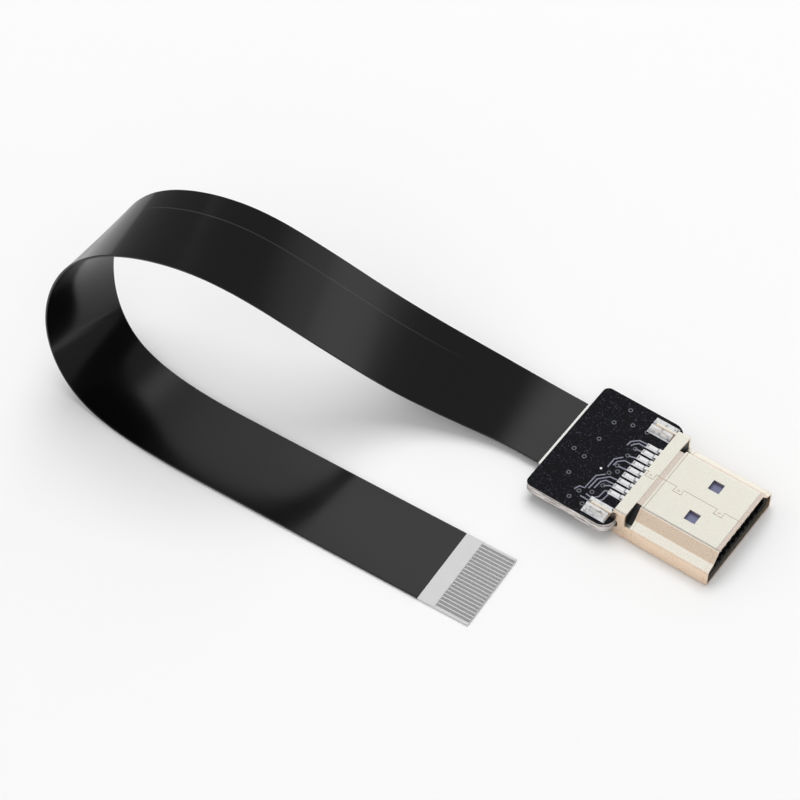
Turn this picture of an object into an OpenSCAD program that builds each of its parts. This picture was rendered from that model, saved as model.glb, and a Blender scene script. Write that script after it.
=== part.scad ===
// Flat flex cable, 20 ways at 0.5 mm pitch, plugged into a small adapter board
// that carries a 19-contact digital video plug.
// Millimetres, +Z up. The origin is the bottom centre of the plug and board
// together. +X runs towards the plug's mouth, and the bottom of the plug's
// shell lies on z = 0.

/* [Plug shell] */
// Width of the shell
shell_w = 13.9; // [12:0.1:16]
// Height of the shell
shell_h = 4.45; // [4:0.05:5.2]
// Thickness of the shell's sheet
shell_t = 0.3; // [0.2:0.05:0.4]
// Length of the shaped tube that goes into a socket
tube_l = 10.4; // [9:0.1:14]
// Width of the narrow top face
top_w = 9.6; // [8:0.1:10.5]
// Height of the straight sides
side_h = 2.45; // [2:0.05:2.6]
// Height of the step below the sloped shoulder
step_h = 3.05; // [2.9:0.05:3.4]
// Length of the rectangular band behind the tube
band_l = 1.55; // [1.2:0.05:2.5]
// Gap between the band's corners and the tube
slit_l = 0.7; // [0.4:0.05:1]
// Side of the square windows in the top face
window_w = 1.45; // [1:0.05:2]
// Distance of the windows from the mouth
window_x = 4.95; // [4:0.05:6]
// Distance between the two windows
window_gap = 5.1; // [4:0.1:6]
// Length of the legs that grip the board
leg_l = 3.1; // [2:0.1:3.6]
// Height of each leg
leg_h = 0.85; // [0.5:0.05:1]

/* [Plug contacts] */
// Contacts in the upper row
upper_ways = 9; // [3:1:9]
// Contacts in the lower row
lower_ways = 10; // [4:1:10]
// Pitch of the plug's contacts
plug_pitch = 1; // [0.9:0.05:1.1]
// Width of a plug contact
plug_pin_w = 0.45; // [0.3:0.05:0.55]
// Thickness of a plug contact
plug_pin_t = 0.2; // [0.12:0.02:0.24]
// Height of the slot in the mouth
slot_h = 1.9; // [1.6:0.05:2]
// Depth of the slot in the mouth
slot_d = 7.6; // [6:0.1:8.5]
// Length of a contact's tail on the board
tail_l = 2.25; // [1.5:0.05:3]
// Length of the flat foot at the end of a tail
foot_l = 1.1; // [0.6:0.05:1.3]
// Height that a tail steps up behind its foot
foot_rise = 0.14; // [0.05:0.01:0.2]

/* [Board] */
// Width of the board
board_w = 17.2; // [16.5:0.1:20]
// Length of the whole adapter, from the board's back edge to the mouth
adapter_l = 23.6; // [22.5:0.1:30]
// Thickness of the board
board_t = 1.2; // [1:0.05:1.4]
// Corner radius beside the plug
board_r = 1.6; // [0.8:0.1:2]
// Corner radius beside the cable
board_back_r = 0.8; // [0.3:0.1:1.5]
// Thickness of the copper pads
pad_t = 0.04; // [0.03:0.01:0.06]

/* [Cable socket] */
// Height of the socket under the board
socket_h = 1.2; // [1.1:0.05:1.4]
// Depth of the socket's housing
socket_d = 3.6; // [3:0.1:4.4]
// Wall on each side of the cable
socket_wall = 1.3; // [1:0.1:1.8]
// Width of a socket contact
socket_pin_w = 0.2; // [0.14:0.02:0.26]
// Distance from the board's back edge to the slider
socket_inset = 2.1; // [1.2:0.1:2.5]
// Distance of the socket from the board's centre line, sideways
socket_y = 1; // [-1:0.1:1]
// Travel of the slider
slider_travel = 1; // [0.6:0.1:1]

/* [Cable] */
// Conductors in the cable
ways = 20; // [6:1:20]
// Pitch of the conductors
pitch = 0.5; // [0.45:0.05:0.5]
// Thickness of the cable
cable_t = 0.3; // [0.24:0.02:0.34]
// Length of each bare end
bare_l = 6.6; // [5.8:0.1:7.2]
// Length of the contacts on a bare end
finger_l = 4.4; // [3.6:0.1:5]
// Width of a contact on a bare end
finger_w = 0.3; // [0.2:0.02:0.36]
// Thickness of a contact on a bare end
finger_t = 0.06; // [0.04:0.01:0.08]

/* [Hidden] */

steps = 6;          // straight pieces in each rounded corner
fit = 0.05;         // clearance between pieces that go into each other
cut = 1;            // how far a cutting shape runs past what it cuts

// Along the adapter
mouth_x = adapter_l / 2;
back_x = -adapter_l / 2;
tube_x = mouth_x - tube_l;
band_x1 = tube_x - slit_l;
band_x0 = band_x1 - band_l;
board_x1 = band_x0 + 0.3;
leg_x = band_x0 - leg_l;

// Heights: the board lies at the middle of the plug
board_z0 = shell_h / 2 - board_t / 2 - 0.025;
board_z1 = board_z0 + board_t;
slot_z0 = 1.2;
slot_z1 = slot_z0 + slot_h;
inner_z0 = shell_t;
inner_z1 = shell_h - shell_t;

// The shell's section, corners anticlockwise as [y, z], and their radii
step_y = (shell_w + top_w) / 4;
d_section = [
    [-shell_w / 2, 0], [shell_w / 2, 0], [shell_w / 2, side_h], [step_y, step_h],
    [top_w / 2, shell_h], [-top_w / 2, shell_h], [-step_y, step_h], [-shell_w / 2, side_h]
];
d_radii = [0.5, 0.5, 0.45, 0.35, 0.4, 0.4, 0.35, 0.45];
box_section = [
    [-shell_w / 2, 0], [shell_w / 2, 0], [shell_w / 2, shell_h], [-shell_w / 2, shell_h]
];
box_radii = [0.5, 0.5, 0.35, 0.35];

// ---- Geometry of rounded outlines ----

function unit(v) = v / norm(v);
function left(v) = [-v[1], v[0]];
function at(list, i) = list[(i + len(list)) % len(list)];

// The outline moved inwards by t, for corners listed anticlockwise
function inset(p, t) = [
    for (i = [0 : len(p) - 1])
        let (
            n1 = left(unit(p[i] - at(p, i - 1))),
            n2 = left(unit(at(p, i + 1) - p[i]))
        )
        p[i] + (n1 + n2) * t / (1 + n1 * n2)
];

// 1 at an outward corner, -1 at an inward one
function turn(p, i) = left(p[i] - at(p, i - 1)) * (at(p, i + 1) - p[i]) > 0 ? 1 : -1;
function inset_radii(p, r, t) = [for (i = [0 : len(p) - 1]) max(r[i] - t * turn(p, i), 0.08)];

// The outline with each corner rounded to its radius
function rounded(p, r) = [
    for (i = [0 : len(p) - 1])
        let (
            a = unit(at(p, i - 1) - p[i]),
            b = unit(at(p, i + 1) - p[i]),
            half = acos(a * b) / 2,
            centre = p[i] + unit(a + b) * r[i] / sin(half),
            from = p[i] + a * r[i] / tan(half) - centre,
            to = p[i] + b * r[i] / tan(half) - centre,
            sweep = 180 - 2 * half,
            side = turn(p, i)
        )
        for (k = [0 : steps])
            let (w = side * sweep * k / steps)
            centre + [from[0] * cos(w) - from[1] * sin(w), from[0] * sin(w) + from[1] * cos(w)]
];

// ---- Extrusions along X, Y and Z ----

module along_x(x0, x1) {
    translate([x0, 0, 0])
        rotate([90, 0, 90])
            linear_extrude(height = x1 - x0)
                children();
}

// The outline is drawn as [x, z]
module along_y(y0, y1) {
    translate([0, y1, 0])
        rotate([90, 0, 0])
            linear_extrude(height = y1 - y0)
                children();
}

module along_z(z0, z1) {
    translate([0, 0, z0])
        linear_extrude(height = z1 - z0)
            children();
}

module block(low, high) {
    translate(low)
        cube(high - low);
}

module both_sides() {
    children();
    mirror([0, 1, 0])
        children();
}

// ---- Plug shell: one stamped and folded sheet ----

module d_tube(x0, x1, t = 0) {
    along_x(x0, x1)
        polygon(rounded(inset(d_section, t), inset_radii(d_section, d_radii, t)));
}

module box_tube(x0, x1, t = 0) {
    along_x(x0, x1)
        polygon(rounded(inset(box_section, t), inset_radii(box_section, box_radii, t)));
}

groove_w = 0.08;
groove_depth = 0.06;
neck_depth = 0.05;  // the sheet is set in a little between the band and the tube
lip_l = 0.45;       // the mouth's rim is set in as well
lip_depth = 0.05;
seam_w = 0.05;
seam_depth = 0.12;
lock_depth = 0.75;  // how far a dovetail reaches past the seam
lock_neck = 0.9;
lock_head = 1.15;

// The side of the band with its two legs, as [x, z], and the fork between the
// legs that straddles the board
leg_gap = 0.05;
upper_leg_z = board_z1 + leg_gap;
lower_leg_z = board_z0 - leg_gap;
leg_top = upper_leg_z + leg_h;
leg_foot = lower_leg_z - leg_h;
leg_outline = [
    [band_x0, box_radii[0]], [band_x1, box_radii[0]],
    [band_x1, shell_h - box_radii[2]], [band_x0, shell_h - box_radii[2]],
    [band_x0, leg_top], [leg_x, leg_top], [leg_x, leg_foot], [band_x0, leg_foot]
];
leg_radii = [0.05, 0.05, 0.05, 0.05, 0.3, 0.2, 0.2, 0.12];
fork_outline = [
    [leg_x - cut, lower_leg_z], [board_x1 + 0.35, lower_leg_z],
    [board_x1 + 0.35, upper_leg_z], [leg_x - cut, upper_leg_z]
];
fork_radii = [0.1, 0.45, 0.45, 0.1];

module leg_plate() {
    along_y(-shell_w / 2, -shell_w / 2 + shell_t)
        polygon(rounded(leg_outline, leg_radii));
}

// A stretch of the tube that is set in by depth all round
module set_in(x, length, depth) {
    difference() {
        block([x, -shell_w, -cut], [x + length, shell_w, shell_h + cut]);
        d_tube(x - cut, x + length + cut, depth);
    }
}

// A thin cut along a line on the top face
module scribe(p, q) {
    d = q - p;
    translate([p[0], p[1], shell_h - seam_depth])
        rotate([0, 0, atan2(d[1], d[0])])
            translate([-seam_w / 2, -seam_w / 2, 0])
                cube([norm(d) + seam_w, seam_w, seam_depth + cut]);
}

// The seam down the middle of the top face, with a dovetail at each x of locks
module seam(x0, x1, locks) {
    ends = [for (x = locks) each [x - lock_neck / 2, x + lock_neck / 2]];
    stops = concat([x0], ends, [x1]);
    for (i = [0 : 2 : len(stops) - 1])
        scribe([stops[i], 0], [stops[i + 1], 0]);
    for (x = locks) {
        outline = [
            [x - lock_neck / 2, 0], [x - lock_head / 2, -lock_depth],
            [x + lock_head / 2, -lock_depth], [x + lock_neck / 2, 0]
        ];
        for (i = [0 : 2])
            scribe(outline[i], outline[i + 1]);
        translate([x, -lock_depth / 2, shell_h])
            cube([0.3, 0.2, 0.08], center = true);
    }
}

module plug_shell() {
    color("#f0e6d0")
        difference() {
            union() {
                d_tube(band_x1, mouth_x);
                box_tube(band_x0, band_x1);
                both_sides()
                    leg_plate();
            }
            along_y(-shell_w, shell_w)
                polygon(rounded(fork_outline, fork_radii));
            d_tube(band_x1 - cut, mouth_x + cut, shell_t);
            box_tube(board_x1, band_x1 + 0.01, shell_t);
            both_sides() {
                // open corner between the band and the tube
                block([band_x1, top_w / 2 - 0.3, side_h], [tube_x, shell_w, shell_h + cut]);
                // room for the board's edge in the band
                block([band_x0 - cut, -shell_w / 2 + shell_t, inner_z0],
                      [board_x1 + 0.01, cut, inner_z1]);
                translate([mouth_x - window_x, window_gap / 2, shell_h])
                    cube([window_w, window_w, shell_t * 3], center = true);
                translate([mouth_x - window_x, window_gap / 2, 0])
                    cube([window_w, window_w, shell_t * 3], center = true);
            }
            set_in(band_x1 + 0.05, slit_l, neck_depth);
            set_in(tube_x + 0.3, groove_w, groove_depth);
            set_in(mouth_x - lip_l, lip_l + cut, lip_depth);
            seam(band_x1, mouth_x, [mouth_x - 8.15, mouth_x - 2.75]);
            seam(band_x0, band_x1, [(band_x0 + band_x1) / 2]);
        }
}

// ---- Plug insulator and contacts ----

face_x = mouth_x - 0.4;          // the insulator's face, just inside the mouth
slot_x = face_x - slot_d;
slot_half = shell_w / 2 - 1.05;
slot_top_half = top_w / 2 + 0.3;
groove_h = 0.42;
pocket_d = 0.3;                  // depth of the pockets under the shell's windows
pin_half = plug_pin_w / 2;
tail_z = board_z1 + pad_t;       // underside of the upper tails
upper_z = slot_z1 + 0.02;        // underside of the upper contacts in the slot
lower_z = slot_z0 - 0.02;
tail_x = board_x1 - tail_l - 0.15;
upper_rows = [for (i = [0 : upper_ways - 1]) (i - (upper_ways - 1) / 2) * plug_pitch];
lower_rows = [for (i = [0 : lower_ways - 1]) (i - (lower_ways - 1) / 2) * plug_pitch];

// A contact from its tail to its bowed spring in the mouth, as [x, z]; up is 1
// for the upper row and -1 for the lower one
function contact_path(tail, run, up) = [
    [tail_x, tail], [tail_x + foot_l, tail], [tail_x + foot_l + 0.2, tail + foot_rise * up],
    [band_x1 - 0.6, tail + foot_rise * up], [band_x1 + 0.4, run], [face_x - 3.4, run],
    [face_x - 1.8, run - 0.24 * up], [face_x - 0.45, run + 0.12 * up]
];

module strip_of(path, t) {
    top = [for (p = path) p + [0, t]];
    polygon(concat(path, [for (i = [len(path) - 1 : -1 : 0]) top[i]]));
}

module upper_contacts() {
    color("#d9b36a")
        for (y = upper_rows)
            along_y(y - pin_half, y + pin_half)
                strip_of(contact_path(tail_z, upper_z, 1), plug_pin_t);
}

module lower_contacts() {
    color("#d9b36a")
        for (y = lower_rows)
            along_y(y - pin_half, y + pin_half)
                strip_of(contact_path(board_z0 - pad_t - plug_pin_t, lower_z - plug_pin_t, -1),
                         plug_pin_t);
}

// The room that the contacts need through the moulded pieces
module contact_slots(x0, x1, rows, z0, z1) {
    for (y = rows)
        block([x0, y - pin_half - fit, z0], [x1, y + pin_half + fit, z1]);
}

upper_step_z = tail_z + foot_rise;
lower_step_z = board_z0 - pad_t - foot_rise;     // upper side of the lower tails there
upper_low = min(upper_step_z, upper_z) - fit;
upper_high = max(upper_step_z, upper_z) + plug_pin_t + fit;
lower_low = min(lower_step_z, lower_z) - plug_pin_t - fit;
lower_high = max(lower_step_z, lower_z) + fit;

module plug_insulator() {
    color("#1b1b1f")
        difference() {
            d_tube(tube_x, face_x, shell_t + 0.02);
            along_x(slot_x, mouth_x)
                polygon([
                    [-slot_half, slot_z0], [slot_half, slot_z0], [slot_half, step_h - 0.8],
                    [slot_top_half, slot_z1], [-slot_top_half, slot_z1], [-slot_half, step_h - 0.8]
                ]);
            both_sides()
                for (z = [inner_z0, inner_z1])
                    translate([mouth_x - window_x, window_gap / 2, z])
                        cube([window_w + 0.3, window_w + 0.3, 2 * pocket_d], center = true);
            contact_slots(slot_x, mouth_x, upper_rows, slot_z1 - 0.1, slot_z1 + groove_h);
            contact_slots(slot_x, mouth_x, lower_rows, slot_z0 - groove_h, slot_z0 + 0.1);
            contact_slots(tube_x - cut, slot_x + cut, upper_rows, upper_low, upper_high);
            contact_slots(tube_x - cut, slot_x + cut, lower_rows, lower_low, lower_high);
        }
}

module rear_wafer() {
    color("#141414")
        difference() {
            union() {
                box_tube(board_x1 + fit, band_x1, shell_t + 0.02);
                intersection() {
                    box_tube(band_x1 - cut, tube_x, shell_t + 0.02);
                    d_tube(band_x1 - 0.01, tube_x, shell_t + 0.02);
                }
            }
            contact_slots(board_x1, tube_x + cut, upper_rows, upper_low, upper_high);
            contact_slots(board_x1, tube_x + cut, lower_rows, lower_low, lower_high);
        }
}

// ---- Board, pads and solder ----

board_outline = [
    [back_x, -board_w / 2], [board_x1, -board_w / 2],
    [board_x1, board_w / 2], [back_x, board_w / 2]
];

module board() {
    color("#101014")
        along_z(board_z0, board_z1)
            polygon(rounded(board_outline, [board_back_r, board_r, board_r, board_back_r]));
}

tail_pad_l = tail_l + 0.5;
tail_pad_w = plug_pin_w + 0.25;
cable_w = (ways + 1) * pitch;

// Solder round a leg: its reach outside, inside and behind the leg
leg_outer = shell_w / 2;
leg_inner = leg_outer - shell_t;
solder_out = 1.05;
solder_in = 0.85;
solder_back = 0.4;
solder_rim = 0.12;      // height at the rim
solder_h = 0.34;        // height of its flat top
solder_climb = 0.55;    // height against the leg
solder_front = 0.6;     // distance from the band

module leg_pads(z0) {
    both_sides()
        block([leg_x - solder_back - 0.1, leg_inner - solder_in - 0.1, z0],
              [band_x0 - solder_front + 0.1, leg_outer + solder_out + 0.1, z0 + pad_t]);
}

module tail_pads(rows, z0) {
    for (y = rows)
        block([board_x1 - tail_pad_l, y - tail_pad_w / 2, z0],
              [board_x1 - fit, y + tail_pad_w / 2, z0 + pad_t]);
}

module upper_pads() {
    color("#e8e8ea") {
        tail_pads(upper_rows, board_z1);
        leg_pads(board_z1);
    }
}

module lower_pads() {
    color("#e8e8ea") {
        tail_pads(lower_rows, board_z0 - pad_t);
        leg_pads(board_z0 - pad_t);
        at_socket() {
            for (y = finger_rows)
                block([foot_x0, y - 0.15, board_z0 - pad_t], [foot_x1 + 0.2, y + 0.15, board_z0]);
            both_sides()
                block([tab_x0, housing_y - 0.3, board_z0 - pad_t],
                      [tab_x1, tab_y1 + 0.1, board_z0]);
        }
    }
}

// Section of the solder on one side of a leg, from the leg at 0 outwards
function bead(reach, up) = [
    [0, 0], [reach, 0], [reach, solder_rim * up], [reach - 0.12, solder_h * up],
    [0.22, (solder_h + 0.02) * up], [0.08, (solder_h + solder_climb) / 2 * up],
    [0, solder_climb * up]
];

module leg_bead(z0, up) {
    translate([0, 0, z0]) {
        along_x(leg_x - solder_back, band_x0 - solder_front)
            translate([leg_outer, 0])
                polygon(bead(solder_out, up));
        along_x(leg_x - solder_back, band_x0 - solder_front)
            translate([leg_inner, 0])
                mirror([1, 0])
                    polygon(bead(solder_in, up));
        along_y(leg_inner - 0.01, leg_outer + 0.01)
            translate([leg_x, 0])
                mirror([1, 0])
                    polygon(bead(solder_back, up));
    }
}

module leg_solder() {
    color("#dcdcdc")
        both_sides() {
            leg_bead(board_z1 + pad_t, 1);
            leg_bead(board_z0 - pad_t, -1);
        }
}

// A wedge of solder behind the end of each tail
module tail_wedge(rows, z0, up) {
    for (y = rows)
        along_y(y - pin_half, y + pin_half)
            polygon([
                [tail_x, z0], [tail_x, z0 + up * plug_pin_t * 0.85],
                [tail_x - 0.12, z0 + up * plug_pin_t * 0.45], [tail_x - 0.3, z0]
            ]);
}

module tail_solder() {
    color("#dcdcdc") {
        tail_wedge(upper_rows, board_z1 + pad_t, 1);
        tail_wedge(lower_rows, board_z0 - pad_t, -1);
    }
}

// ---- Socket for the cable, under the board ----

cable_z = board_z0 - socket_h / 2;            // middle of the cable in the socket
cable_z0 = cable_z - cable_t / 2;
cable_z1 = cable_z + cable_t / 2;
slider_x0 = back_x + socket_inset;
slider_front = 0.65;                          // thickness of the slider's front bar
housing_x0 = slider_x0 + slider_front + fit;
housing_x1 = housing_x0 + socket_d;
housing_z0 = board_z0 - pad_t - socket_h + 0.1;
housing_z1 = board_z0 - pad_t;
housing_y = cable_w / 2 + socket_wall;
cable_end_x = housing_x1 - 0.7;
slot_half_w = cable_w / 2 + fit;
tongue_z1 = housing_z1 - 0.15;
finger_rows = [for (i = [0 : ways - 1]) (i - (ways - 1) / 2) * pitch];
foot_x0 = housing_x1;
foot_x1 = housing_x1 + 0.55;
beam_z = housing_z0 + 0.2;
beam_t = 0.12;

module at_socket() {
    translate([0, socket_y, 0])
        children();
}

// One contact: soldered foot, post, and a spring beam under the cable, as [x, z]
contact_outline = [
    [foot_x1, housing_z1], [foot_x1, housing_z1 - 0.12], [foot_x0 - 0.1, housing_z1 - 0.3],
    [foot_x0 - 0.1, beam_z], [housing_x0 + 0.9, beam_z], [housing_x0 + 0.7, beam_z + 0.1],
    [housing_x0 + 1, cable_z0], [housing_x0 + 1.2, cable_z0], [housing_x0 + 1.5, beam_z + beam_t],
    [foot_x0 - 0.3, beam_z + beam_t], [foot_x0 - 0.3, housing_z1 - 0.25], [foot_x0, housing_z1]
];

module socket_contacts() {
    color("#d9b36a")
        at_socket()
            for (y = finger_rows)
                along_y(y - socket_pin_w / 2, y + socket_pin_w / 2)
                    polygon(contact_outline);
}

rail_gap = 0.05;
rail_w = 0.4;           // thickness of the slider's side arms
arm_x1 = housing_x0 + slider_travel + 0.9;
lug_l = 0.4;            // the lug that stops the slider, at the tip of each arm
lug_w = 0.2;

module socket_housing() {
    channel_y = housing_y - rail_w - rail_gap;
    channel_z0 = housing_z0 + 0.2;
    channel_z1 = housing_z1 - 0.2;
    color("#e9e4d8")
        at_socket()
            difference() {
                block([housing_x0, -housing_y, housing_z0], [housing_x1, housing_y, housing_z1]);
                // mouth for the cable and the slider's tongue
                block([housing_x0 - cut, -slot_half_w, beam_z - 0.02],
                      [housing_x1 - 0.6, slot_half_w, tongue_z1]);
                // slots for the contacts
                for (y = finger_rows)
                    block([housing_x0 + 0.5, y - socket_pin_w / 2 - 0.02, beam_z - 0.02],
                          [housing_x1 + cut, y + socket_pin_w / 2 + 0.02, housing_z1 + cut]);
                // channels for the slider's arms, and the length that their lugs travel
                both_sides() {
                    block([housing_x0 - cut, channel_y, channel_z0],
                          [arm_x1 + 0.1, housing_y + cut, channel_z1]);
                    block([arm_x1 - lug_l - slider_travel - fit, channel_y - lug_w, channel_z0],
                          [arm_x1 + 0.1, housing_y, channel_z1]);
                }
            }
}

module socket_slider() {
    arm_z0 = housing_z0 + 0.25;
    arm_z1 = housing_z1 - 0.25;
    color("#26262a")
        at_socket()
            union() {
                difference() {
                    block([slider_x0, -housing_y, housing_z0 + 0.05],
                          [slider_x0 + slider_front, housing_y, housing_z1 - 0.05]);
                    block([slider_x0 - cut, -slot_half_w - 0.05, cable_z0 - 0.08],
                          [slider_x0 + slider_front + cut, slot_half_w + 0.05, cable_z1 + 0.04]);
                }
                // tongue that presses the cable onto the contacts
                block([slider_x0, -cable_w / 2, cable_z1 + 0.04],
                      [housing_x0 + socket_d - 1.2, cable_w / 2, tongue_z1 - 0.03]);
                both_sides() {
                    block([slider_x0, housing_y - rail_w, arm_z0], [arm_x1, housing_y, arm_z1]);
                    block([arm_x1 - lug_l, housing_y - rail_w - lug_w, arm_z0],
                          [arm_x1, housing_y, arm_z1]);
                }
            }
}

tab_x0 = arm_x1 + 0.3;
tab_x1 = housing_x1 - 0.3;
tab_y1 = housing_y + 0.7;

// Folded tabs that hold the housing down to the board, as [y, z]
module socket_tabs() {
    color("#d8d8dc")
        at_socket()
            both_sides()
                along_x(tab_x0, tab_x1)
                    polygon([
                        [housing_y, housing_z1], [tab_y1, housing_z1],
                        [tab_y1, housing_z1 - 0.12], [housing_y + 0.12, housing_z1 - 0.12],
                        [housing_y + 0.12, housing_z0 + 0.2], [housing_y, housing_z0 + 0.2]
                    ]);
}

// ---- Cable ----

// Control points of the cable's middle line, with x and y counted from where
// the jacket starts, and how far the cable rolls about itself there, in degrees.
// It leaves the socket, rises, turns over in a loop and comes back along the
// surface that the plug lies on.
jacket_x = cable_end_x - bare_l;
route = [
    [7.5, 0, cable_z, 0], [0, 0, cable_z, 0], [-7.5, 0, cable_z, 0], [-18, -4, 6, 9],
    [-23, -8.5, 13.5, -6], [-26.5, -13.5, 22, -3], [-34, -17.5, 29, 7],
    [-44.5, -20, 28, 8], [-52, -21, 20.5, -2], [-54.5, -22.5, 8.5, -11],
    [-49.5, -24, 0.3, -5], [-38.5, -25, 0.4, 0], [-29.5, -24.5, 0.3, 0],
    [-19.5, -24, 0.3, 0], [-10.5, -23.5, 0.2, 0], [-1, -23, 0.2, 0], [8.5, -22.5, 0.2, 0]
];
rings_per_point = 5;
spans = len(route) - 3;

// Uniform cubic B-spline over the control points: value and direction at u
function blend(t) = [
    pow(1 - t, 3) / 6, (3 * t * t * t - 6 * t * t + 4) / 6,
    (-3 * t * t * t + 3 * t * t + 3 * t + 1) / 6, t * t * t / 6
];
function blend_slope(t) = [
    -pow(1 - t, 2) / 2, (3 * t * t - 4 * t) / 2, (-3 * t * t + 2 * t + 1) / 2, t * t / 2
];
function mix(i, w) = route[i] * w[0] + route[i + 1] * w[1] + route[i + 2] * w[2]
    + route[i + 3] * w[3];
function span_of(u) = min(floor(u), spans - 1);
function spot(u) = mix(span_of(u), blend(u - span_of(u)));
function slope(u) = mix(span_of(u), blend_slope(u - span_of(u)));
function first3(v) = [v[0], v[1], v[2]];

// [middle, direction, across, outward] of the cable at u
function frame(u) =
    let (
        p = spot(u),
        along = unit(first3(slope(u))),
        level = unit([0, 1, 0] - along * along[1]),
        across = level * cos(p[3]) + cross(level, along) * sin(p[3])
    )
    [first3(p) + [jacket_x, socket_y, 0], along, across, cross(across, along)];

// Four corners of a layer between two distances from the middle, at frame f
function layer_ring(f, d0, d1) = [
    for (c = [[-1, d0], [1, d0], [1, d1], [-1, d1]])
        f[0] + f[2] * c[0] * cable_w / 2 + f[3] * c[1]
];

module layer(d0, d1) {
    count = spans * rings_per_point;
    points = [for (i = [0 : count]) each layer_ring(frame(i / rings_per_point), d0, d1)];
    // opposite faces are split along the same diagonal, so that the two films meet
    sides = [
        for (i = [0 : count - 1], k = [0 : 3])
            let (a = 4 * i + k, b = 4 * i + (k + 1) % 4)
            each k < 2 ? [[a, a + 4, b + 4], [a, b + 4, b]] : [[a, a + 4, b], [b, a + 4, b + 4]]
    ];
    caps = [[0, 1, 2, 3], [for (k = [3 : -1 : 0]) 4 * count + k]];
    polyhedron(points, concat(sides, caps));
}

module outer_film() {
    color("#2a2a2c")
        layer(0, cable_t / 2);
}

module inner_film() {
    color("#2a2a2c")
        layer(-cable_t / 2, 0);
}

// A bare end lies along X with its contacts facing -Z, from the jacket at 0
module bare_support() {
    shoulder = bare_l - finger_l;
    block([0, -cable_w / 2, finger_t - cable_t / 2], [bare_l, cable_w / 2, cable_t / 2]);
    block([0, -cable_w / 2, -cable_t / 2], [shoulder, cable_w / 2, finger_t - cable_t / 2 + 0.01]);
}

module bare_fingers() {
    for (y = finger_rows)
        block([bare_l - finger_l, y - finger_w / 2, -cable_t / 2],
              [bare_l, y + finger_w / 2, finger_t - cable_t / 2]);
}

module at_board_end() {
    translate([jacket_x, socket_y, cable_z])
        children();
}

// The free end goes on from the jacket's last frame, contacts upwards
free_end = frame(spans);
free_turn = atan2(free_end[1][1], free_end[1][0]);

module at_free_end() {
    translate(free_end[0])
        rotate([180, 0, free_turn])
            children();
}

module board_end_support() {
    color("#eceae4")
        at_board_end()
            bare_support();
}

module board_end_contacts() {
    color("#a5a5a5")
        at_board_end()
            bare_fingers();
}

module free_end_support() {
    color("#d6d6d6")
        at_free_end()
            bare_support();
}

module free_end_contacts() {
    color("#a5a5a5")
        at_free_end()
            bare_fingers();
}

plug_shell();
plug_insulator();
rear_wafer();
upper_contacts();
lower_contacts();
board();
upper_pads();
lower_pads();
leg_solder();
tail_solder();
socket_housing();
socket_slider();
socket_contacts();
socket_tabs();
outer_film();
inner_film();
board_end_support();
board_end_contacts();
free_end_support();
free_end_contacts();
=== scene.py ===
import math
import bpy
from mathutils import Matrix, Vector


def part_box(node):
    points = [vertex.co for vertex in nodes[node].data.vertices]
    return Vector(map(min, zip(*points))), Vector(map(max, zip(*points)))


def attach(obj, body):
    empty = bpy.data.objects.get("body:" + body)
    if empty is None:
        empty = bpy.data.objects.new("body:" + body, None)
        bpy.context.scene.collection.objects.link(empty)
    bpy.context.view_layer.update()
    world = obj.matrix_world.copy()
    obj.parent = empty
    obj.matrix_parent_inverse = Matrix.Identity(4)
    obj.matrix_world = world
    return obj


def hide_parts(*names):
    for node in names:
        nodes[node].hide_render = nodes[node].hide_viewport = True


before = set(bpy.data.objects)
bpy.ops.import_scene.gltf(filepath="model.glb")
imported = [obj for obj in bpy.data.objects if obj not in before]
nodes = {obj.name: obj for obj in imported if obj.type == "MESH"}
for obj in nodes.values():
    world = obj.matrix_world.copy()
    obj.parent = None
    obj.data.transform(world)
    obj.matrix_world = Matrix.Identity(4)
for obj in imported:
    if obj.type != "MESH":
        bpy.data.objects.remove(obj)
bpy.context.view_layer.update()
scene = bpy.context.scene
scene.view_settings.view_transform = "Standard"

mm = 0.001
body = "adapter"


cameraSpec = {
    "azimuth": 35.8,  # degrees, from -Y towards +X
    "elevation": 52.3,
    "distance": 341.5 * mm,
    "aim": (-31.5 * mm, -5.5 * mm, 0.0),
    "lens": 130.5,
    "sensor": 36.0,
}


def addCamera(spec):
    azimuth, elevation = math.radians(spec["azimuth"]), math.radians(spec["elevation"])
    back = Vector((
        math.sin(azimuth) * math.cos(elevation),
        -math.cos(azimuth) * math.cos(elevation),
        math.sin(elevation),
    ))
    bpy.ops.object.camera_add(location=Vector(spec["aim"]) + back * spec["distance"])
    camera = bpy.context.object
    camera.name = "Camera"
    camera.rotation_mode = "QUATERNION"
    camera.rotation_quaternion = (-back).to_track_quat("-Z", "Y")
    camera.data.lens = spec["lens"]
    camera.data.sensor_width = spec["sensor"]
    camera.data.clip_start = 0.01
    camera.data.clip_end = 10.0
    scene.camera = camera


addCamera(cameraSpec)
print("camera placed")


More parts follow.
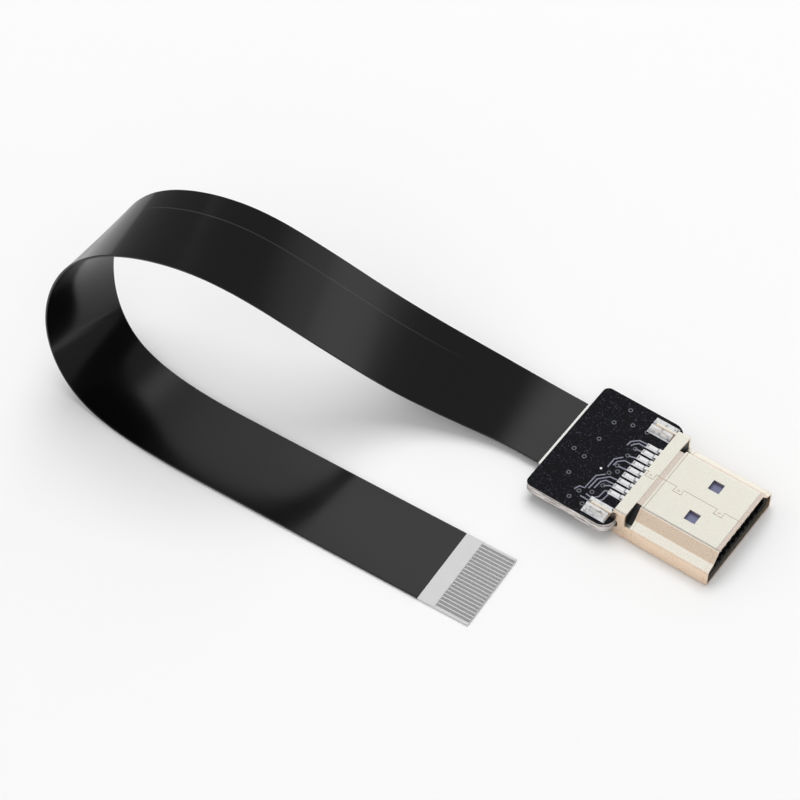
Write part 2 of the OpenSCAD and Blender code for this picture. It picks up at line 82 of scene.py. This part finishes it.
cable = {
    "width": 10.5 * mm,
    "thickness": 0.3 * mm,
    "cornerRadius": 0.09 * mm,
    "ringsPerPoint": 36,
    "cornerSteps": 3,
    "smoothBelow": math.radians(8),  # round the bends, crisp at the rims
    "middleHeight": 1.0 * mm,  # where it leaves the socket
    # control points from the jacket's start, in metres, and the roll there in degrees
    "route": [
        (0.0075, 0, 0.001, 0), (0, 0, 0.001, 0), (-0.0075, 0, 0.001, 0),
        (-0.018, -0.004, 0.006, 9), (-0.023, -0.0085, 0.0135, -6), (-0.0265, -0.0135, 0.022, -3),
        (-0.034, -0.0175, 0.029, 7), (-0.0445, -0.02, 0.028, 8), (-0.052, -0.021, 0.0205, -2),
        (-0.0545, -0.0225, 0.0085, -11), (-0.0495, -0.024, 0.0003, -5),
        (-0.0385, -0.025, 0.0004, 0), (-0.0295, -0.0245, 0.0003, 0), (-0.0195, -0.024, 0.0003, 0),
        (-0.0105, -0.0235, 0.0002, 0), (-0.001, -0.023, 0.0002, 0), (0.0085, -0.0225, 0.0002, 0),
    ],
}

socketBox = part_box("board_end_support")
jacketStart = Vector((socketBox[0][0], (socketBox[0][1] + socketBox[1][1]) / 2, 0))


def splineAt(points, u):
    # uniform cubic B-spline through the control points: value and slope
    spans = len(points) - 3
    i = min(int(u), spans - 1)
    t = u - i
    weights = ((1 - t) ** 3 / 6, (3 * t**3 - 6 * t**2 + 4) / 6,
               (-3 * t**3 + 3 * t**2 + 3 * t + 1) / 6, t**3 / 6)
    slopes = (-((1 - t) ** 2) / 2, (3 * t**2 - 4 * t) / 2, (-3 * t**2 + 2 * t + 1) / 2, t**2 / 2)
    value = [sum(w * points[i + k][axis] for k, w in enumerate(weights)) for axis in range(4)]
    slope = [sum(s * points[i + k][axis] for k, s in enumerate(slopes)) for axis in range(3)]
    return value, Vector(slope)


def cableFrame(u):
    # middle, direction, across and outward directions of the cable at u
    value, slope = splineAt(cable["route"], u)
    along = slope.normalized()
    level = (Vector((0, 1, 0)) - along * along.y).normalized()
    roll = math.radians(value[3])
    across = level * math.cos(roll) + level.cross(along) * math.sin(roll)
    return Vector(value[:3]) + jacketStart, along, across, across.cross(along)


def flatSection(width, thickness, radius, steps):
    # outline of the flat cable, anticlockwise, as (across, outward)
    outline = []
    for corner in range(4):
        middle = (
            (1 if corner in (0, 3) else -1) * (width / 2 - radius),
            (1 if corner in (0, 1) else -1) * (thickness / 2 - radius),
        )
        for k in range(steps + 1):
            angle = math.radians(90 * (corner + k / steps))
            outline.append((
                middle[0] + radius * math.cos(angle),
                middle[1] + radius * math.sin(angle),
            ))
    return outline


def sweepCable(name):
    spans = len(cable["route"]) - 3
    rings = spans * cable["ringsPerPoint"]
    section = flatSection(
        cable["width"], cable["thickness"], cable["cornerRadius"], cable["cornerSteps"],
    )
    count = len(section)
    vertices, faces, middles, reach = [], [], [], [0.0]
    for ring in range(rings + 1):
        middle, along, across, outward = cableFrame(ring / cable["ringsPerPoint"])
        vertices += [middle + across * a + outward * b for a, b in section]
        if middles:
            reach.append(reach[-1] + (middle - middles[-1]).length)
        middles.append(middle)
    for ring in range(rings):
        for k in range(count):
            a, b = ring * count + k, ring * count + (k + 1) % count
            faces.append((a, a + count, b + count, b))
    faces.append(tuple(range(count)))
    faces.append(tuple(rings * count + k for k in reversed(range(count))))
    mesh = bpy.data.meshes.new(name)
    mesh.from_pydata(vertices, [], faces)
    mesh.update()
    # the UV map holds millimetres: how far along, and how far across
    layer = mesh.uv_layers.new(name="Lay")
    for loop in mesh.loops:
        ring, k = divmod(loop.vertex_index, count)
        layer.data[loop.index].uv = (reach[ring] / mm, section[k][0] / mm)
    piece = bpy.data.objects.new(name, mesh)
    scene.collection.objects.link(piece)
    bpy.ops.object.select_all(action="DESELECT")
    piece.select_set(True)
    bpy.context.view_layer.objects.active = piece
    bpy.ops.object.shade_smooth_by_angle(angle=cable["smoothBelow"])
    piece.select_set(False)
    return piece, middles, reach[-1]


jacket, cableLine, jacketLength = sweepCable("cable_jacket")
print("cable swept, jacket", round(jacketLength / mm, 2), "mm")


board = {
    "top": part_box("board")[1][2],
    "viaRing": 0.31 * mm,
    "viaHole": 0.15 * mm,
    "viaHeight": 0.05 * mm,
    "viaSides": 28,
    "viaFoot": 0.7,  # share of the height that is a straight foot, sunk in the board
    # from the rim inwards: share of the ring's width, then rise as a share of the height
    "viaProfile": [(0.22, 0.75), (0.28, 0.55), (0.28, -0.2), (0.22, -1.1), (0.35, -0.9)],
    "traceWidth": 0.18 * mm,
    "traceHeight": 0.045 * mm,
    "dotPlace": (-5.8, -1.8),
    "dotRadius": 0.15 * mm,
    "dotSides": 24,
    "dotSunk": 0.005 * mm,
    "dotHeight": 0.018 * mm,
    "dotCrown": 0.004 * mm,
    # places and routes on the board, in millimetres
    "vias": [
        (-8.2, 4.6), (-6.2, 5.5), (-4.3, 5.6), (-8.3, 1.6), (-8.3, -1.5), (-8.5, -4.4),
        (-6.6, -7.2), (-4.8, -7.2), (-6.1, -5.9), (-4.8, -5.2), (-4.3, -3.7), (-4.5, -0.4),
        (-4.0, -1.1), (-4.7, -1.8), (-4.3, 1.5), (-4.1, 2.8), (-9.9, -1.2), (-7.6, 7.2),
    ],
    "traces": [
        [(-5.2, 2.7), (-5.1, 3.4), (-4.4, 4.1), (-3.2, 4.2)],
        [(-4.8, 2.9), (-4.6, 3.3), (-4.2, 3.7), (-3.2, 3.7)],
        [(-5.3, -1.2), (-5.3, 0.2), (-4.6, 1.0)],
        [(-4.9, -0.6), (-4.8, 0.1), (-4.2, 0.7), (-3.2, 0.7)],
        [(-6.7, -6.0), (-6.4, -5.3), (-5.8, -5.2), (-5.7, -3.0), (-4.9, -2.2)],
        [(-5.4, -5.0), (-5.3, -3.3), (-4.3, -2.2), (-3.2, -2.1)],
        [(-4.9, -4.6), (-4.8, -3.4), (-4.4, -2.9), (-3.2, -2.8)],
        [(-5.6, -6.4), (-4.1, -6.4), (-3.2, -5.4), (-3.1, -4.4)],
        [(-5.2, -5.8), (-4.4, -5.9), (-3.8, -5.3), (-3.7, -4.2), (-3.3, -4.0)],
        [(-4.4, -0.4), (-3.3, -0.3)],
        [(-4.2, -3.7), (-3.7, -3.3), (-3.2, -3.2)],
        [(-4.1, 2.8), (-3.2, 2.9)],
        [(-4.2, 1.5), (-3.2, 1.8)],
    ],
}


def joinPieces(pieces, name):
    # one object of all the pieces, with its place in its mesh
    bpy.ops.object.select_all(action="DESELECT")
    for piece in pieces:
        piece.select_set(True)
    bpy.context.view_layer.objects.active = pieces[0]
    if len(pieces) > 1:
        bpy.ops.object.join()
    bpy.ops.object.transform_apply(location=True, rotation=True, scale=True)
    joined = bpy.context.object
    joined.name = name
    joined.data.name = name
    return joined


def addVia(place):
    # a plated hole under the mask: a raised ring round a shallow dimple
    bpy.ops.object.select_all(action="DESELECT")
    bpy.ops.mesh.primitive_circle_add(
        vertices=board["viaSides"], radius=board["viaRing"], fill_type="NGON",
        location=(place[0] * mm, place[1] * mm, board["top"] - board["viaHeight"]),
    )
    bpy.ops.object.mode_set(mode="EDIT")
    foot = (0, 0, board["viaHeight"] * board["viaFoot"])
    bpy.ops.mesh.extrude_region_move(TRANSFORM_OT_translate={"value": foot})
    wall = board["viaRing"] - board["viaHole"]
    for share, lift in board["viaProfile"]:
        bpy.ops.mesh.inset(thickness=wall * share, depth=0)
        bpy.ops.transform.translate(value=(0, 0, board["viaHeight"] * lift))
    bpy.ops.object.mode_set(mode="OBJECT")
    bpy.ops.object.shade_smooth_by_angle(angle=math.radians(60))
    return bpy.context.object


def addTrace(route):
    # a low round ridge of mask over a copper track
    bpy.ops.object.select_all(action="DESELECT")
    bpy.ops.mesh.primitive_plane_add(size=1 * mm, location=(0, 0, board["top"]))
    track = bpy.context.object
    bpy.ops.object.mode_set(mode="EDIT")
    bpy.ops.mesh.merge(type="CENTER")
    bpy.ops.transform.translate(value=(route[0][0] * mm, route[0][1] * mm, 0))
    for start, end in zip(route, route[1:]):
        step = ((end[0] - start[0]) * mm, (end[1] - start[1]) * mm, 0)
        bpy.ops.mesh.extrude_region_move(TRANSFORM_OT_translate={"value": step})
    bpy.ops.object.mode_set(mode="OBJECT")
    bpy.ops.object.convert(target="CURVE")
    track.data.bevel_depth = board["traceWidth"] / 2
    track.data.bevel_resolution = 2
    track.data.use_fill_caps = True
    bpy.ops.object.convert(target="MESH")
    bpy.ops.object.mode_set(mode="EDIT")
    bpy.ops.mesh.select_all(action="SELECT")
    bpy.ops.transform.resize(value=(1, 1, 2 * board["traceHeight"] / board["traceWidth"]))
    bpy.ops.object.mode_set(mode="OBJECT")
    bpy.ops.object.shade_smooth_by_angle(angle=math.radians(50))
    return bpy.context.object


def addDot(place):
    # a small printed dot with a slightly crowned top
    bpy.ops.object.select_all(action="DESELECT")
    bpy.ops.mesh.primitive_circle_add(
        vertices=board["dotSides"], radius=board["dotRadius"], fill_type="NGON",
        location=(place[0] * mm, place[1] * mm, board["top"] - board["dotSunk"]),
    )
    bpy.ops.object.mode_set(mode="EDIT")
    bpy.ops.mesh.extrude_region_move(TRANSFORM_OT_translate={"value": (0, 0, board["dotHeight"])})
    bpy.ops.mesh.inset(thickness=board["dotRadius"] * 0.2, depth=0)
    bpy.ops.transform.translate(value=(0, 0, board["dotCrown"]))
    bpy.ops.object.mode_set(mode="OBJECT")
    return bpy.context.object


vias = joinPieces([addVia(place) for place in board["vias"]], "board_vias")
traces = joinPieces([addTrace(route) for route in board["traces"]], "board_traces")
dot = joinPieces([addDot(board["dotPlace"])], "board_dot")
print("board details made:", len(board["vias"]), "vias,", len(board["traces"]), "tracks")


class Socket:
    # an output socket of a node tree, with + - * as Math nodes

    def __init__(self, tree, output):
        self.tree = tree
        self.output = output

    def math(self, operation, *values):
        settings = {"operation": operation}
        return addNode(self.tree, "ShaderNodeMath", settings, dict(enumerate(values)))

    def __add__(self, other):
        return self.math("ADD", self, other)

    __radd__ = __add__

    def __sub__(self, other):
        return self.math("SUBTRACT", self, other)

    def __rsub__(self, other):
        return self.math("SUBTRACT", other, self)

    def __mul__(self, other):
        return self.math("MULTIPLY", self, other)

    __rmul__ = __mul__


def addNode(tree, kind, settings=None, sockets=None, output=0):
    node = tree.nodes.new(kind)
    for name, value in (settings or {}).items():
        if name == "stops":
            ramp = node.color_ramp
            ramp.elements.remove(ramp.elements[-1])
            for i, (place, colour) in enumerate(value):
                stop = ramp.elements[0] if i == 0 else ramp.elements.new(place)
                stop.position = place
                stop.color = (*colour, 1)
        else:
            setattr(node, name, value)
    for key, value in (sockets or {}).items():
        if isinstance(value, Socket):
            tree.links.new(value.output, node.inputs[key])
        else:
            node.inputs[key].default_value = value
    return Socket(tree, node.outputs[output]) if node.outputs else None


class Finish:
    # a material under construction, in millimetres of the object's own space

    def __init__(self, name):
        self.material = bpy.data.materials.new(name)
        self.material.use_nodes = True
        self.tree = self.material.node_tree
        self.tree.nodes.clear()
        metres = self.add("ShaderNodeTexCoord", output="Object")
        self.place = self.add("ShaderNodeVectorMath", {"operation": "SCALE"},
                              {0: metres, "Scale": 1 / mm})

    def add(self, kind, settings=None, sockets=None, output=0):
        return addNode(self.tree, kind, settings, sockets, output)

    def axes(self, vector=None):
        split = self.add("ShaderNodeSeparateXYZ", None, {0: vector or self.place})
        outputs = split.output.node.outputs
        return [Socket(self.tree, outputs[i]) for i in range(3)]

    def stretched(self, x, y, z, vector=None):
        return self.add("ShaderNodeMapping", None,
                        {"Vector": vector or self.place, "Scale": (x, y, z)})

    def noise(self, scale, detail=2.0, roughness=0.5, vector=None):
        return self.add("ShaderNodeTexNoise", None, {
            "Vector": vector or self.place, "Scale": scale,
            "Detail": detail, "Roughness": roughness,
        })

    def math(self, operation, *values):
        return self.add("ShaderNodeMath", {"operation": operation}, dict(enumerate(values)))

    def ramp(self, value, *stops):
        return self.add("ShaderNodeValToRGB", {"stops": stops}, {0: value})

    def smooth(self, value, start, end, low=0.0, high=1.0):
        return self.add("ShaderNodeMapRange", {"interpolation_type": "SMOOTHSTEP"}, {
            0: value, 1: start, 2: end, 3: low, 4: high,
        })

    def blend(self, factor, first, second):
        first = first if isinstance(first, Socket) else (*first, 1)
        second = second if isinstance(second, Socket) else (*second, 1)
        return self.add("ShaderNodeMix", {"data_type": "RGBA"}, {0: factor, 6: first, 7: second}, 2)

    def bump(self, height, strength, depth):
        return self.add("ShaderNodeBump", None, {
            "Height": height, "Strength": strength, "Distance": depth * mm,
        })

    def shade(self, **sockets):
        # base_color becomes "Base Color", specular_ior_level "Specular IOR Level"
        values = {key.replace("_", " ").title().replace("Ior", "IOR"): value
                  for key, value in sockets.items()}
        if not isinstance(values["Base Color"], Socket):
            values["Base Color"] = (*values["Base Color"], 1)
        shader = self.add("ShaderNodeBsdfPrincipled", None, values)
        self.add("ShaderNodeOutputMaterial", None, {"Surface": shader})
        return self.material


def wear(node, material):
    # gives a CAD node its finish in place of the plain one
    for entry in nodes[node].material_slots:
        entry.material = material


film = {
    "colour": (0.0022, 0.0022, 0.0023),
    "roughness": (0.13, 0.17),
    "ridgePitch": 0.5,  # one way of the cable, in mm
    # a faint pressed line along the upper stretch, in mm from the middle and from the start
    "creaseColour": (0.035, 0.035, 0.035),
    "creaseAcross": 2.4,
    "creaseWidthSquared": 0.006,
    "creaseFadesIn": (12, 24),
    "creaseFadesOut": (58, 66),
}


def jacketFilm():
    finish = Finish("jacket film")
    lay = finish.add("ShaderNodeUVMap", {"uv_map": "Lay"})
    along, across, _ = finish.axes(lay)
    cloud = finish.noise(0.05, 2, vector=finish.stretched(1, 3, 1, lay))
    dust = finish.noise(9, 3)
    offset = across - film["creaseAcross"]
    line = finish.smooth(offset * offset, 0.0, film["creaseWidthSquared"], 1.0, 0.0)
    fadeIn = finish.smooth(along, *film["creaseFadesIn"])
    fadeOut = finish.smooth(along, *film["creaseFadesOut"], 1.0, 0.0)
    ridges = finish.math("SINE", across * (2 * math.pi / film["ridgePitch"]))
    return finish.shade(
        base_color=finish.blend(line * (fadeIn * fadeOut), film["colour"], film["creaseColour"]),
        roughness=finish.smooth(cloud, 0.3, 0.7, *film["roughness"]),
        normal=finish.bump(ridges * 0.2 + dust * 0.3, 0.03, 0.01),
    )


plating = {
    # colours of the specks and of the sheet between them: the top's are painted light, pale as if
    # lit from above; the sides' and the set-in sheet's are painted shade, darker and pinker
    "top": ((0.86, 0.83, 0.72), (0.99, 0.965, 0.87)),
    "sides": ((0.78, 0.60, 0.46), (0.90, 0.73, 0.57)),
    "shadedSetIn": ((0.66, 0.56, 0.48), (0.86, 0.76, 0.68)),
    "roughness": (0.26, 0.38),
    # below the shell's top, in mm: where the set-in sheet lies, from deep to shallow
    "setInDepths": (0.12, 0.10, 0.035, 0.02),
}


def platedSheet():
    # satin plating with painted light and shade: paler on top as if lit, darker and pinker on the
    # sides and where the sheet is set in, as if shaded
    finish = Finish("plated sheet")
    facing = finish.axes(finish.add("ShaderNodeNewGeometry", output="Normal"))[2]
    height = finish.axes()[2]
    grain = finish.noise(7, 4, 0.75)
    speck = finish.smooth(grain, 0.34, 0.60)
    # upward faces take the painted lit colour, the rest the painted shaded side colour
    level = finish.smooth(facing, 0.55, 0.95)
    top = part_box("plug_shell")[1][2] / mm
    deep, lessDeep, shallow, lessShallow = (top - depth for depth in plating["setInDepths"])
    # sheet set in just below the top takes painted shade
    shadedSetIn = finish.smooth(height, deep, lessDeep)
    shadedSetIn = shadedSetIn * finish.smooth(height, shallow, lessShallow, 1, 0)
    litTopColour, shadedSideColour, shadedSetInColour = (finish.blend(speck, *plating[place]) for place in ("top", "sides", "shadedSetIn"))
    return finish.shade(
        base_color=finish.blend(shadedSetIn * level, finish.blend(level, shadedSideColour, litTopColour), shadedSetInColour),
        metallic=1.0,
        roughness=finish.smooth(grain, 0.3, 0.7, *plating["roughness"]),
        normal=finish.bump(grain, 0.35, 0.02),
    )


def blackMoulding(name="black moulding", colour=(0.012, 0.012, 0.014)):
    finish = Finish(name)
    grain = finish.noise(14, 3, 0.6)
    return finish.shade(
        base_color=finish.blend(grain, [c * 0.7 for c in colour], [c * 1.4 for c in colour]),
        roughness=finish.smooth(grain, 0.3, 0.7, 0.42, 0.58),
        normal=finish.bump(grain, 0.2, 0.01),
    )


core = {
    "colour": (0.01, 0.01, 0.012),
    "plateColour": (0.21, 0.22, 0.34),
    "plateFrom": (1.55, 1.60),  # mm above and below the core's middle
    "plateBehindMouth": (2.6, 2.8),  # mm
}


def plugCore():
    # black moulding, with the blue-grey spring plate that shows through the shell's windows
    finish = Finish("plug core")
    along, _, height = finish.axes()
    grain = finish.noise(14, 3, 0.6)
    lowest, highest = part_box("plug_insulator")
    middle = (lowest[2] + highest[2]) / 2 / mm
    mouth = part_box("plug_shell")[1][0] / mm
    plate = finish.smooth(finish.math("ABSOLUTE", height - middle), *core["plateFrom"])
    plate = plate * finish.smooth(mouth - along, *core["plateBehindMouth"])
    return finish.shade(
        specular_ior_level=0.12,
        base_color=finish.blend(plate, core["colour"], core["plateColour"]),
        roughness=finish.smooth(grain, 0.3, 0.7, 0.42, 0.58),
        normal=finish.bump(grain, 0.2, 0.01),
    )


def goldContact():
    finish = Finish("gold contact")
    grain = finish.noise(20, 2)
    return finish.shade(
        base_color=finish.blend(grain, (0.80, 0.60, 0.30), (0.90, 0.72, 0.42)),
        metallic=1.0,
        roughness=finish.smooth(grain, 0.3, 0.7, 0.22, 0.34),
    )


def tinnedCopper(name, dark, light, roughness):
    finish = Finish(name)
    grain = finish.noise(9, 4, 0.6)
    return finish.shade(
        base_color=finish.blend(grain, dark, light),
        metallic=1.0,
        roughness=finish.smooth(grain, 0.3, 0.7, roughness - 0.06, roughness + 0.08),
        normal=finish.bump(grain, 0.3, 0.03),
    )


def wettedSolder():
    # bright fillets, uneven where the joint was touched up by hand
    finish = Finish("wetted solder")
    lumps = finish.noise(1.6, 3, 0.6)
    grain = finish.noise(12, 3, 0.6)
    return finish.shade(
        base_color=finish.ramp(
            lumps, (0.34, (0.42, 0.42, 0.43)), (0.44, (0.86, 0.86, 0.87)),
            (0.62, (0.99, 0.99, 0.99)),
        ),
        metallic=1.0,
        roughness=finish.smooth(grain, 0.3, 0.7, 0.30, 0.44),
        normal=finish.bump(lumps + grain * 0.1, 0.6, 0.12),
    )


mask = {
    "colours": ((0.0008, 0.0008, 0.001), (0.004, 0.004, 0.008)),
    "dustColour": (0.11, 0.12, 0.15),
    "dustAmount": 0.8,
    "roughness": (0.20, 0.34),
    "edgeRougher": 0.25,
    "edgeStops": [
        (0.30, (0.16, 0.14, 0.13)), (0.45, (0.42, 0.38, 0.36)),
        (0.53, (0.70, 0.65, 0.63)), (0.64, (0.90, 0.88, 0.86)),
    ],
}


def solderMask():
    # glossy black mask on the faces, sawn glass-cloth laminate on the edges
    finish = Finish("solder mask")
    facing = finish.axes(finish.add("ShaderNodeNewGeometry", output="Normal"))[2]
    flat = finish.smooth(finish.math("ABSOLUTE", facing), 0.5, 0.8)
    dust = finish.smooth(finish.noise(4.5, 5, 0.85), 0.56, 0.67)
    cloud = finish.noise(0.35, 3, 0.6)
    grain = finish.noise(18, 3, 0.6)
    face = finish.blend(cloud, *mask["colours"])
    face = finish.blend(dust * mask["dustAmount"], face, mask["dustColour"])
    streaks = finish.noise(1.6, 4, 0.7, finish.stretched(0.35, 0.35, 2.6))
    edge = finish.ramp(streaks, *mask["edgeStops"])
    rough = finish.smooth(grain, 0.3, 0.7, *mask["roughness"]) + (1 - flat) * mask["edgeRougher"]
    return finish.shade(
        specular_ior_level=0.1,
        base_color=finish.blend(flat, edge, face),
        roughness=rough,
        normal=finish.bump(grain, 0.15, 0.015),
    )


def coveredTrace(name, dark, light, roughness):
    # mask over copper, which reads a little lighter than over the bare laminate
    finish = Finish(name)
    grain = finish.noise(6, 3, 0.6)
    return finish.shade(
        base_color=finish.blend(grain, dark, light),
        roughness=finish.smooth(grain, 0.3, 0.7, roughness - 0.05, roughness + 0.08),
        normal=finish.bump(grain, 0.1, 0.01),
    )


def satinFilm(name, dark, light):
    finish = Finish(name)
    cloud = finish.noise(0.5, 3, 0.6)
    grain = finish.noise(12, 3)
    return finish.shade(
        base_color=finish.blend(cloud, dark, light),
        roughness=finish.smooth(grain, 0.3, 0.7, 0.38, 0.5),
        normal=finish.bump(grain, 0.1, 0.01),
    )


jacket.data.materials.append(jacketFilm())
plated = platedSheet()
tinned = tinnedCopper("tinned copper", (0.86, 0.86, 0.88), (0.97, 0.97, 0.98), 0.3)
solder = wettedSolder()
gold = goldContact()
moulding = blackMoulding()
for node, material in {
    "plug_shell": plated,
    "plug_insulator": plugCore(),
    "rear_wafer": moulding,
    "upper_contacts": tinned,
    "lower_contacts": tinned,
    "board": solderMask(),
    "upper_pads": tinned,
    "lower_pads": tinned,
    "leg_solder": solder,
    "tail_solder": tinned,
    "socket_housing": satinFilm("socket moulding", (0.74, 0.69, 0.60), (0.82, 0.78, 0.69)),
    "socket_slider": blackMoulding("slider moulding", (0.02, 0.02, 0.022)),
    "socket_contacts": gold,
    "socket_tabs": tinned,
    "board_end_support": satinFilm("white support", (0.84, 0.83, 0.80), (0.90, 0.89, 0.87)),
    "board_end_contacts": tinnedCopper("printed finger", (0.42,) * 3, (0.50,) * 3, 0.4),
    "free_end_support": satinFilm("grey support", (0.60,) * 3, (0.66,) * 3),
    "free_end_contacts": tinnedCopper("dull finger", (0.48,) * 3, (0.58,) * 3, 0.45),
}.items():
    wear(node, material)
print("finishes made")

via = coveredTrace("covered via", (0.05, 0.052, 0.06), (0.20, 0.205, 0.235), 0.16)
track = coveredTrace("covered track", (0.16, 0.16, 0.21), (0.34, 0.34, 0.42), 0.24)
ink = satinFilm("white ink", (0.80, 0.80, 0.79), (0.88, 0.88, 0.87))
for piece, material in ((vias, via), (traces, track), (dot, ink)):
    piece.data.materials.append(material)
    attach(piece, body)

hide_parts("outer_film", "inner_film")
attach(jacket, body)


studio = {
    "floor": 1.6,
    "floorDrop": 0.02 * mm,
    "floorColour": (0.93, 0.93, 0.93),
    "ceiling": 0.30,
    "backPanel": 0.95,
    "rightPanel": 0.40,
    "frontPanel": 0.75,
    # each panel's soft edges in the direction of view: axis, start, end, value before, value after
    "backEdges": [
        ("y", 0.28, 0.42, 0.0, 1.0), ("x", -0.22, 0.10, 1.0, 0.0),
        ("x", -0.44, -0.33, 0.15, 1.0), ("z", 0.87, 0.94, 1.0, 0.0),
    ],
    "rightEdges": [
        ("x", 0.55, 0.80, 0.0, 1.0), ("y", 0.42, 0.55, 0.0, 1.0), ("z", 0.50, 0.70, 1.0, 0.0),
    ],
    "frontEdges": [
        ("y", -0.40, -0.15, 1.0, 0.0), ("x", 0.2, 0.6, 1.0, 0.0), ("z", 0.15, 0.75, 0.45, 1.0),
    ],
    "keyPlace": (-0.15, 0.25, 1.1),
    "keySize": 0.8,
    "keyPower": 7.2,
    "fillPlace": (0.5, -0.7, 0.8),
    "fillSize": 0.8,
    "fillPower": 1.0,
}


def addFloor(spec):
    bpy.ops.mesh.primitive_plane_add(size=spec["floor"], location=(0, 0, -spec["floorDrop"]))
    floor = bpy.context.object
    floor.name = "floor"
    finish = Finish("floor")
    floor.data.materials.append(finish.shade(base_color=spec["floorColour"], roughness=0.9))


def addLamp(name, place, size, power):
    bpy.ops.object.light_add(type="AREA", location=place)
    lamp = bpy.context.object
    lamp.name = name
    lamp.data.size = size
    lamp.data.energy = power
    lamp.rotation_mode = "QUATERNION"
    lamp.rotation_quaternion = (Vector(place) - Vector(cameraSpec["aim"])).to_track_quat("Z", "Y")
    lamp.visible_glossy = False


def addWorld(spec):
    # soft panels behind, to the right and in front, under a dimmer ceiling; the camera sees white
    world = bpy.data.worlds.new("studio")
    scene.world = world
    world.use_nodes = True
    tree = world.node_tree
    tree.nodes.clear()

    def add(kind, settings=None, sockets=None, output=0):
        return addNode(tree, kind, settings, sockets, output)

    direction = add("ShaderNodeTexCoord", output="Generated")
    split = add("ShaderNodeSeparateXYZ", None, {0: direction})
    axes = {name: Socket(tree, split.output.node.outputs[name.upper()]) for name in "xyz"}
    level = spec["ceiling"]
    for panel in ("back", "right", "front"):
        strength = spec[panel + "Panel"]
        for axis, start, end, before, after in spec[panel + "Edges"]:
            edge = add("ShaderNodeMapRange", {"interpolation_type": "SMOOTHSTEP"},
                       {0: axes[axis], 1: start, 2: end, 3: before, 4: after})
            strength = edge * strength
        level = strength + level
    seen = add("ShaderNodeLightPath", output="Is Camera Ray")
    backdrop = add("ShaderNodeBackground", None, {"Color": (1, 1, 1, 1), "Strength": level})
    white = add("ShaderNodeBackground", None, {"Color": (1, 1, 1, 1), "Strength": 1.0})
    shader = add("ShaderNodeMixShader", None, {0: seen, 1: backdrop, 2: white})
    add("ShaderNodeOutputWorld", None, {"Surface": shader})


addFloor(studio)
addLamp("key", studio["keyPlace"], studio["keySize"], studio["keyPower"])
addLamp("fill", studio["fillPlace"], studio["fillSize"], studio["fillPower"])
addWorld(studio)
print("floor and light placed")
